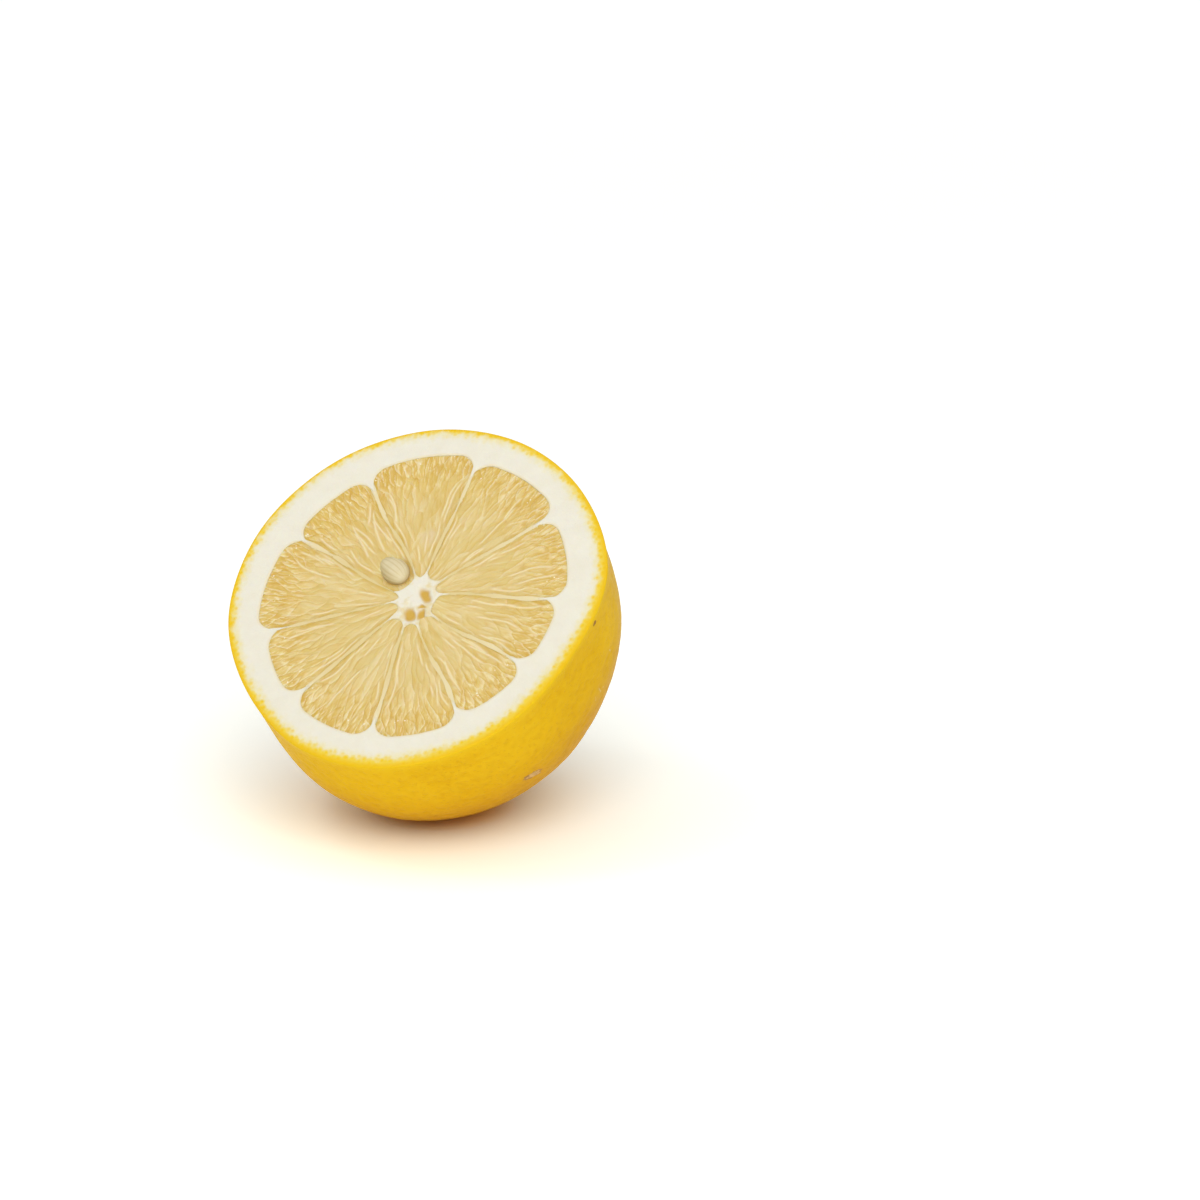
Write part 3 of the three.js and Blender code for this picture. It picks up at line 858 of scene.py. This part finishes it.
def rind_material():
    m = Nodes("lemon_rind")
    from_rim, wall, core, hollow, pit = m.attributes("from_rim", "wall", "core", "hollow", "pit")
    side, scar, dark, scratch = m.attributes("side", "scar", "dark", "scratch")

    # Skin: golden yellow with slow drifts of tone, deeper in its pits and towards the tip; that deepening is
    # partly its own tone and partly painted shade
    drift = m.noise(13, 3)
    fine = m.noise(1.1, 3)
    skin = m.mix(m.step(drift, 0.3, 0.7), rgb(236, 184, 24), rgb(242, 192, 28))
    # Deeper towards the tip: partly the skin's own tone, partly painted shade for its darker underside
    depth = m.step(from_rim, -7, -24)
    skin = m.mix(m.times(depth, 0.6), skin, rgb(218, 150, 14))
    # Darker in the pores and pits: partly the glands' own tone, partly painted shade in the dimples
    pores = m.cells(0.62)
    pit_tone_and_shade = m.mix(depth, rgb(216, 156, 20), rgb(196, 132, 12))
    skin = m.mix(m.step(pores, 0.12, 0.4, 0.28, 0), skin, pit_tone_and_shade)
    skin = m.mix(m.times(pit, 0.32), skin, pit_tone_and_shade)
    bright_tone = m.mix(depth, rgb(246, 204, 40), rgb(238, 180, 20))
    skin = m.mix(m.step(fine, 0.42, 0.66, 0, 0.25), skin, bright_tone)
    # Painted light: the skin brightens towards the rim so that it meets the lit cut face evenly
    skin = m.mix(m.step(from_rim, -2.2, -0.1, 0, 0.75), skin, rgb(245, 203, 36))
    torn = m.plus(scar, m.math("MULTIPLY_ADD", m.noise(0.45, 3), 0.9, -0.45))
    scarred = m.mix(m.step(torn, 0.1, 0.5), rgb(196, 132, 62), rgb(246, 206, 146))
    blotches = m.step(m.noise(0.6, 2), 0.35, 0.6, 0.3, 1)
    scarred = m.mix(m.times(dark, blotches), scarred, rgb(150, 98, 50))
    skin = m.mix(m.step(torn, 0, 0.2, 0, 0.9), skin, scarred)
    scratched = m.plus(scratch, m.math("MULTIPLY_ADD", m.noise(0.8, 2), 1.6, -0.9))
    skin = m.mix(m.step(scratched, 0, 0.5, 0, 0.7), skin, rgb(240, 208, 130))

    # Cut face: a ring of gland-spotted zest, pale yellow fading into warm white pith
    glands = m.cells(0.85)
    ragged = m.plus(from_rim, m.math("MULTIPLY_ADD", m.noise(1.6, 3), 1.4, -0.7))
    ragged = m.plus(ragged, m.times(side, 0.3))
    ragged = m.plus(ragged, m.math("MULTIPLY_ADD", glands, 0.95, -0.4))
    zest = m.step(ragged, 0.6, 1.7, 1, 0)
    fade = m.step(ragged, 0.8, 3.0, 1, 0)
    pith = m.mix(m.noise(2.5, 3), rgb(242, 238, 223), rgb(236, 229, 209))
    pith = m.mix(m.times(m.math("POWER", fade, 1.4), 0.75), pith, rgb(240, 222, 130))
    zest_tone = m.mix(m.step(glands, 0.1, 0.5, 0.3, 1), rgb(242, 198, 34), rgb(243, 211, 76))
    zest_tone = m.mix(m.step(from_rim, 0.9, 0.1, 0, 0.85), zest_tone, rgb(240, 194, 30))
    face = m.mix(zest, pith, zest_tone)
    faded = m.plus(from_rim, m.times(m.attribute("low_left"), 6))
    membrane = m.mix(m.step(faded, 12, 22), rgb(238, 220, 172), rgb(231, 208, 148))
    face = m.mix(m.times(wall, 0.95), face, membrane)
    face = m.mix(m.times(core, 0.6), face, rgb(240, 234, 216))
    stain = m.plus(m.noise(1.3, 3), m.step(from_rim, 29.5, 26.5, 0, 0.2))
    stain = m.times(core, m.step(stain, 0.55, 0.85, 0, 0.7))
    face = m.mix(stain, face, rgb(232, 210, 150))
    # Amber in the core's hollows and the dip round the seed: painted shade for their depth, partly the pulp's
    # own amber showing in them
    face = m.mix(m.step(hollow, 0.1, 1), face, rgb(216, 176, 86))
    color = m.mix(m.step(from_rim, 0.02, 0.12), skin, face)

    gloss = m.step(from_rim, 0.0, 0.3, 0.36, 0.55)
    gloss = m.plus(gloss, m.times(m.math("MAXIMUM", wall, hollow), -0.22))
    pores_height = m.step(pores, 0.0, 0.4)
    on_skin = m.step(from_rim, 0.1, -0.4)
    relief = m.times(m.math("MULTIPLY_ADD", pores_height, 0.8, fine), on_skin)
    grain = m.times(m.noise(0.35, 4), m.math("SUBTRACT", 1, on_skin))
    normal = m.bump(m.plus(relief, grain), 0.1, 0.75)
    return m.finish(
        color, gloss, normal,
        Subsurface_Weight=0.12, Subsurface_Radius=(1, 0.6, 0.2), Subsurface_Scale=0.7 * MM, IOR=1.42,
        Specular_IOR_Level=0.012,
    )


def pulp_material():
    m = Nodes("lemon_pulp")
    edge, tone, flank, seed_dip_shade = m.attributes("edge", "tone", "flank", "seed_dip_shade")
    outwards, radius, across, to_wall = m.attributes("outwards", "radius", "across", "to_wall")
    outer = m.step(outwards, -11, -0.5)

    # Noise drawn out along the juice sacs: fine strokes, broad patches and short dashes
    flow = m.combine(across, m.times(radius, 0.1), m.plus(tone, m.attribute("segment")))
    strokes = m.noise(0.5, 2, 0.6, flow, 0.2)
    wide_flow = m.combine(across, m.times(radius, 0.4), m.attribute("segment"))
    patches = m.noise(1.5, 3, 0.6, wide_flow, 0.4)
    short_flow = m.combine(across, m.times(radius, 0.26), m.attribute("segment"))
    short = m.noise(0.48, 2, 0.6, short_flow, 0.3)

    # Straw yellow, more golden towards the rim and to one side, with that noise in it
    color = m.mix(m.step(tone, -1, 1), rgb(224, 198, 124), rgb(231, 208, 146))
    color = m.mix(m.times(outer, 0.55), color, rgb(228, 196, 102))
    gold = m.times(m.attribute("golden"), m.math("MULTIPLY_ADD", outer, 0.35, 0.1))
    color = m.mix(gold, color, rgb(224, 186, 78))
    broad = m.step(m.noise(6, 2), 0.35, 0.65, 0.4, 1.2)
    amber = m.times(m.step(patches, 0.42, 0.62), m.math("MULTIPLY_ADD", outer, 0.5, 0.15))
    color = m.mix(m.times(amber, broad), color, rgb(218, 178, 80))
    dark = m.times(m.step(strokes, 0.52, 0.7), m.math("MULTIPLY_ADD", outer, 0.1, 0.35))
    color = m.mix(m.times(dark, broad), color, rgb(212, 172, 74))
    color = m.mix(m.step(strokes, 0.48, 0.32, 0, 0.45), color, rgb(238, 222, 176))
    short_dark = m.times(m.step(short, 0.52, 0.64), m.times(outer, 0.65))
    color = m.mix(short_dark, color, rgb(214, 172, 70))
    short_pale = m.times(m.step(short, 0.47, 0.34), m.times(outer, 0.75))
    color = m.mix(short_pale, color, rgb(244, 228, 180))

    # Painted shade along one flank of each sac and a painted highlight along the other, then the fibres,
    # painted shade beside them and in the dip round the seed, and painted glints
    strength = m.math("MULTIPLY_ADD", outer, 0.35, 0.2)
    shade_line = m.times(m.step(edge, 0.05, 0.3, 1, 0), m.step(flank, 0.1, -0.4))
    color = m.mix(m.times(shade_line, strength), color, rgb(214, 172, 68))
    # Painted highlight: a pale line along the lit flank of each sac
    painted_highlight_line = m.times(m.step(edge, 0.05, 0.28, 1, 0), m.step(flank, 0.15, 0.5))
    painted_highlight_line = m.times(painted_highlight_line, m.step(tone, -0.6, 0.2, 0.35, 1))
    color = m.mix(m.times(painted_highlight_line, m.plus(strength, 0.1)), color, rgb(242, 227, 184))
    color = m.mix(m.times(m.attribute("buried"), 0.7), color, rgb(228, 207, 164))
    # Painted shade in the grooves beside the long fibres
    color = m.mix(m.times(m.attribute("beside"), 0.5), color, rgb(214, 172, 68))
    color = m.mix(m.times(m.attribute("streak"), 0.9), color, rgb(242, 226, 180))
    along_wall = m.times(m.step(to_wall, 0.15, 0.8, 1, 0), m.step(patches, 0.35, 0.6, 0.15, 0.6))
    color = m.mix(along_wall, color, rgb(212, 170, 66))
    # Painted shade in the dip round the seed
    color = m.mix(m.times(seed_dip_shade, 0.8), color, rgb(206, 156, 50))
    # Painted glints of wet light on the outer pulp
    painted_glint = m.times(m.step(m.cells(0.9), 0.1, 0.2, 1, 0), m.step(m.noise(1.3, 1), 0.55, 0.6))
    color = m.mix(m.times(painted_glint, m.step(outwards, -6, -2)), color, rgb(252, 244, 214))

    gloss = m.step(strokes, 0.3, 0.7, 0.24, 0.4)
    normal = m.bump(strokes, 0.05, 0.7, m.bump(m.noise(0.3, 2), 0.02, 0.5))
    return m.finish(
        color, gloss, normal,
        Subsurface_Weight=0.5, Subsurface_Radius=(1, 0.6, 0.2), Subsurface_Scale=0.7 * MM, IOR=1.36,
    )


def seed_material():
    m = Nodes("lemon_seed")
    along, ridge, height = m.attributes("along", "ridge", "height")
    color = m.mix(m.noise(1.6, 3), rgb(220, 204, 158), rgb(234, 220, 182))
    # Painted shade in the grooves between the ridges
    color = m.mix(m.step(ridge, -0.2, -0.9, 0, 0.35), color, rgb(196, 172, 112))
    # Painted shade on the seed's lower flank, away from the light
    color = m.mix(m.step(m.attribute("below"), 0.15, 0.95, 0, 0.65), color, rgb(188, 166, 108))
    color = m.mix(m.step(along, 0.2, 1, 0, 0.5), color, rgb(202, 172, 104))
    # Painted shade where the seed lies low in its pocket
    color = m.mix(m.step(height, 1.4, -0.2, 0, 0.6), color, rgb(186, 156, 92))
    normal = m.bump(m.noise(0.35, 3), 0.03, 0.6)
    return m.finish(
        color, m.step(m.noise(0.9, 2), 0.3, 0.7, 0.3, 0.45), normal,
        Subsurface_Weight=0.3, Subsurface_Radius=(1, 0.8, 0.5), Subsurface_Scale=0.8 * MM, IOR=1.4,
    )


def floor_material():
    m = Nodes("pale_floor")
    away = m.add("ShaderNodeVectorMath", {0: m.mm}, operation="LENGTH").outputs["Value"]
    mottle = m.step(m.noise(40, 2), 0, 1, 0.995, 1)
    shade = m.times(m.step(away, *FLOOR_FADE, *FLOOR_WHITE), mottle)
    tints = [m.step(away, *GLOW_SPAN, near, far) for near, far in zip(GLOW_TINT, FLOOR_TINT)]
    color = m.combine(*(m.times(shade, tint) for tint in tints))
    shader = m.add("ShaderNodeBsdfDiffuse", {"Color": color})
    m.tree.links.new(shader.outputs[0], m.add("ShaderNodeOutputMaterial").inputs[0])
    return m.material


# --- Stage --------------------------------------------------------------------


def make_floor():
    half = FLOOR_SIZE / 2
    corners = np.array([(-half, -half, 0), (half, -half, 0), (half, half, 0), (-half, half, 0)])
    floor = make_piece("floor", corners, [(0, 1, 2, 3)], floor_material())


def make_camera():
    turn, rise = math.radians(CAMERA_TURN), math.radians(CAMERA_RISE)
    right = Vector((math.cos(turn), math.sin(turn), 0))
    back = Vector((math.sin(turn) * math.cos(rise), -math.cos(turn) * math.cos(rise), math.sin(rise)))
    up = back.cross(right)
    data = bpy.data.cameras.new("camera")
    data.lens, data.sensor_width = LENS, SENSOR
    camera = bpy.data.objects.new("camera", data)
    bpy.context.collection.objects.link(camera)
    position = Matrix.Translation((Vector(FACE_MIDDLE) + Vector(CAMERA_FROM_FACE)) * MM)
    camera.matrix_world = position @ Matrix((right, up, back)).transposed().to_4x4()
    bpy.context.scene.camera = camera


def area_light(name, position, size, power):
    data = bpy.data.lights.new(name, "AREA")
    data.shape, data.size, data.energy = "DISK", size, power
    light = bpy.data.objects.new(name, data)
    bpy.context.collection.objects.link(light)
    way = Vector(LIGHT_TARGET) - Vector(position)
    light.matrix_world = Matrix.Translation(position) @ way.to_track_quat("-Z", "Y").to_matrix().to_4x4()


def light_scene():
    world = bpy.data.worlds.new("white_studio")
    bpy.context.scene.world = world
    world.use_nodes = True
    tree = world.node_tree
    background, output = tree.nodes["Background"], tree.nodes["World Output"]
    direction = tree.nodes.new("ShaderNodeTexCoord").outputs["Generated"]
    facing = tree.nodes.new("ShaderNodeVectorMath")
    facing.operation = "DOT_PRODUCT"
    facing.inputs[1].default_value = Vector(WORLD_FRONT).normalized()
    tree.links.new(direction, facing.inputs[0])
    strength = tree.nodes.new("ShaderNodeMapRange")
    strength.interpolation_type = "SMOOTHSTEP"
    for name, value in zip(("From Min", "From Max", "To Min", "To Max"), (*WORLD_SPAN, *WORLD_STRENGTH)):
        strength.inputs[name].default_value = value
    tree.links.new(facing.outputs["Value"], strength.inputs["Value"])
    tree.links.new(strength.outputs[0], background.inputs["Strength"])
    background.inputs["Color"].default_value = (1, 1, 1, 1)
    tree.links.new(background.outputs[0], output.inputs[0])
    for light in LIGHTS:
        area_light(*light)
    bpy.context.scene.view_settings.view_transform = "Standard"


def main():
    make_floor()
    make_camera()
    light_scene()
    rind = make_rind(rind_material())
    pulp_finish = pulp_material()
    pulp = [make_pulp(segment, pulp_finish) for segment in range(len(SEGMENTS))]
    seed = make_seed(seed_material())
    for piece in [rind, *pulp]:
        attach(piece, "root")
        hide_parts("lemon_half")
    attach(seed, "root")
    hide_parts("seed")


main()
